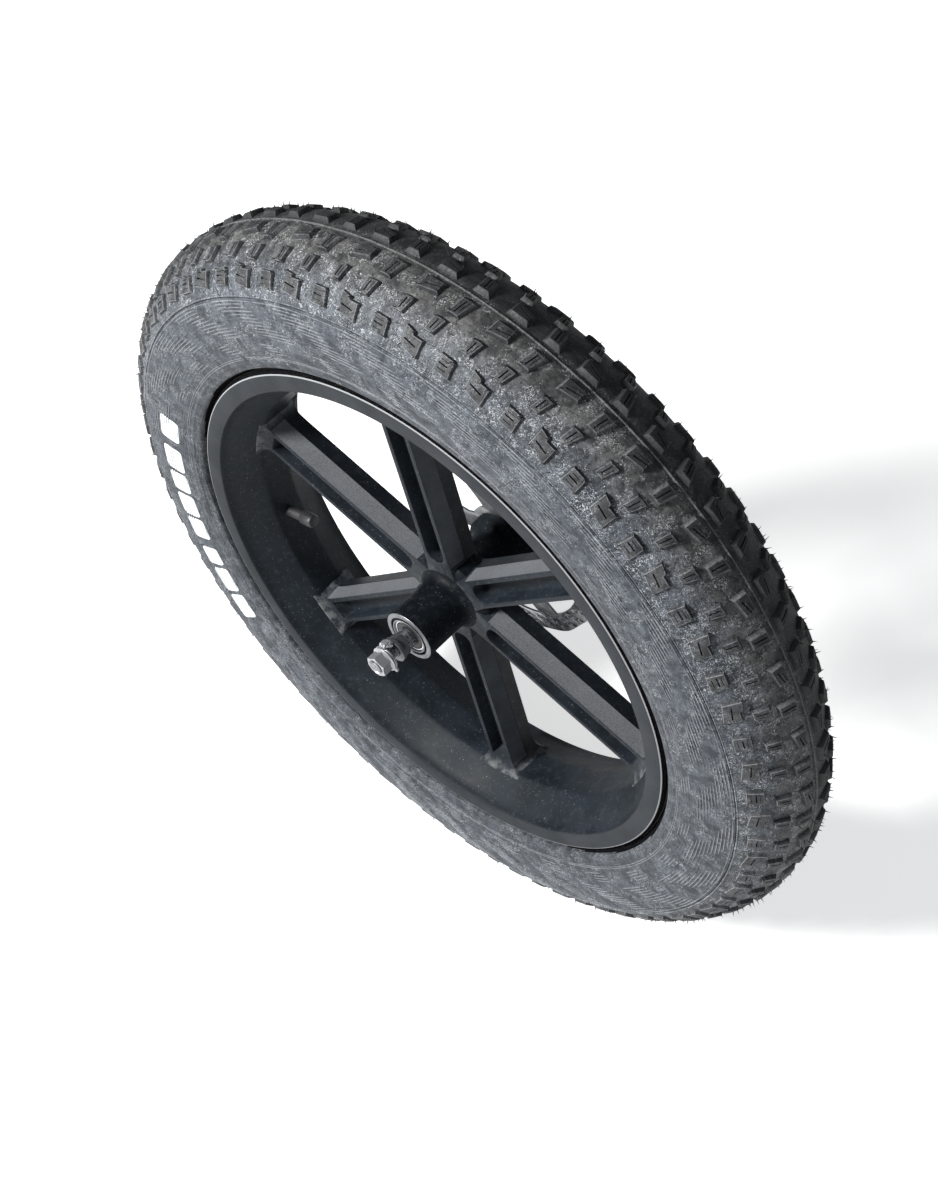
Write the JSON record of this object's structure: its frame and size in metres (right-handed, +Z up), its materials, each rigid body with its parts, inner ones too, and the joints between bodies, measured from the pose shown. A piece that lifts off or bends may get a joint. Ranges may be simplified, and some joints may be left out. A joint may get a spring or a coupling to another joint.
{
  "type": "bicycle tire",
  "caption": "Wide knobby bicycle tire on its cast spoked wheel, with tube, valve, sealed bearings, brake disc and nutted axle.",
  "frame": {"origin": "centre of the wheel, on the axle, midway between the two dropout seats", "axes": "+Y along the axle towards the brake disc, +Z up, +X forward"},
  "size_m": [0.5948, 0.1724, 0.5948],
  "materials": {
    "casing_rubber": "dusty moulded rubber",
    "tread_rubber": "dusty moulded rubber",
    "butyl_rubber": "smooth rubber",
    "bead_fabric": "rubberised weave",
    "bead_wire_steel": "drawn wire, bronze coated",
    "wheel_paint": "satin black paint on cast aluminium",
    "plated_steel": "zinc plated",
    "bearing_steel": "polished",
    "seal_rubber": "matte",
    "cage_nylon": "moulded",
    "valve_brass": "machined",
    "cap_plastic": "moulded",
    "disc_steel": "ground"
  },
  "bodies": {
    "axle_set": {"axle": "plated_steel", "bearing_spacer": "plated_steel", "bearing_inner_ring_left": "bearing_steel", "axle_sleeve_left": "plated_steel", "axle_locknut_left": "plated_steel", "dropout_seat_left": "plated_steel", "bearing_inner_ring_right": "bearing_steel", "axle_sleeve_right": "plated_steel", "axle_locknut_right": "plated_steel", "dropout_seat_right": "plated_steel"},
    "wheel": {"tire_casing": "casing_rubber", "tread_band": "tread_rubber", "inner_tube": "butyl_rubber", "rim_flap": "bead_fabric", "cast_wheel": "wheel_paint", "valve_stem": "butyl_rubber", "valve_core_body": "valve_brass", "valve_spring": "plated_steel", "brake_rotor": "disc_steel", "bead_wire_left": "bead_wire_steel", "bead_chafer_left": "bead_fabric", "bearing_outer_ring_left": "bearing_steel", "bearing_seal_inboard_left": "seal_rubber", "bearing_seal_outboard_left": "seal_rubber", "bead_wire_right": "bead_wire_steel", "bead_chafer_right": "bead_fabric", "bearing_outer_ring_right": "bearing_steel", "bearing_seal_inboard_right": "seal_rubber", "bearing_seal_outboard_right": "seal_rubber", "rotor_bolt_1": "plated_steel", "rotor_bolt_2": "plated_steel", "rotor_bolt_3": "plated_steel", "rotor_bolt_4": "plated_steel", "rotor_bolt_5": "plated_steel", "rotor_bolt_6": "plated_steel"},
    "valve_pin": {"valve_pin": "valve_brass"},
    "valve_cap": {"valve_cap": "cap_plastic"},
    "bearing_cage_left": {"bearing_cage_left": "cage_nylon", "ball_left_1": "bearing_steel", "ball_left_2": "bearing_steel", "ball_left_3": "bearing_steel", "ball_left_4": "bearing_steel", "ball_left_5": "bearing_steel", "ball_left_6": "bearing_steel", "ball_left_7": "bearing_steel"},
    "washer_left": {"tab_washer_left": "plated_steel"},
    "nut_left": {"axle_nut_left": "plated_steel"},
    "bearing_cage_right": {"bearing_cage_right": "cage_nylon", "ball_right_1": "bearing_steel", "ball_right_2": "bearing_steel", "ball_right_3": "bearing_steel", "ball_right_4": "bearing_steel", "ball_right_5": "bearing_steel", "ball_right_6": "bearing_steel", "ball_right_7": "bearing_steel"},
    "washer_right": {"tab_washer_right": "plated_steel"},
    "nut_right": {"axle_nut_right": "plated_steel"}
  },
  "joints": [
    {"name": "wheel_spin", "type": "hinge", "parent": "axle_set", "child": "wheel", "pos_m": [0, 0, 0], "axis": [0, 1, 0], "continuous": true},
    {"name": "valve_pin_press", "type": "slide", "parent": "wheel", "child": "valve_pin", "axis": [-0.9914, 0, -0.1305], "range_m": [0, 0.0015], "stiffness_N_per_m": 40, "springref_m": -0.01, "deforming": ["valve_spring"]},
    {"name": "valve_cap_off", "type": "slide", "parent": "wheel", "child": "valve_cap", "axis": [0.9914, 0, 0.1305], "range_m": [0, 0.016]},
    {"name": "bearing_left_orbit", "type": "hinge", "parent": "axle_set", "child": "bearing_cage_left", "pos_m": [0, -0.0474, 0], "axis": [0, 1, 0], "continuous": true},
    {"name": "bearing_right_orbit", "type": "hinge", "parent": "axle_set", "child": "bearing_cage_right", "pos_m": [0, 0.0495, 0], "axis": [0, 1, 0], "continuous": true},
    {"name": "washer_left_slide", "type": "slide", "parent": "axle_set", "child": "washer_left", "axis": [0, -1, 0], "range_m": [0, 0.005]},
    {"name": "nut_left_turn", "type": "hinge", "parent": "washer_left", "child": "nut_left", "pos_m": [0, -0.075, 0], "axis": [0, -1, 0], "range_deg": [0, 1800]},
    {"name": "washer_right_slide", "type": "slide", "parent": "axle_set", "child": "washer_right", "axis": [0, 1, 0], "range_m": [0, 0.005]},
    {"name": "nut_right_turn", "type": "hinge", "parent": "washer_right", "child": "nut_right", "pos_m": [0, 0.075, 0], "axis": [0, 1, 0], "range_deg": [0, 1800]}
  ],
  "couplings": [
    {"joint": "bearing_left_orbit", "follows": "wheel_spin", "ratio": 0.63222},
    {"joint": "bearing_right_orbit", "follows": "wheel_spin", "ratio": 0.63222},
    {"joint": "nut_left_turn", "follows": "washer_left_slide", "rad_per_m": 6283.2},
    {"joint": "nut_right_turn", "follows": "washer_right_slide", "rad_per_m": 6283.2}
  ]
}
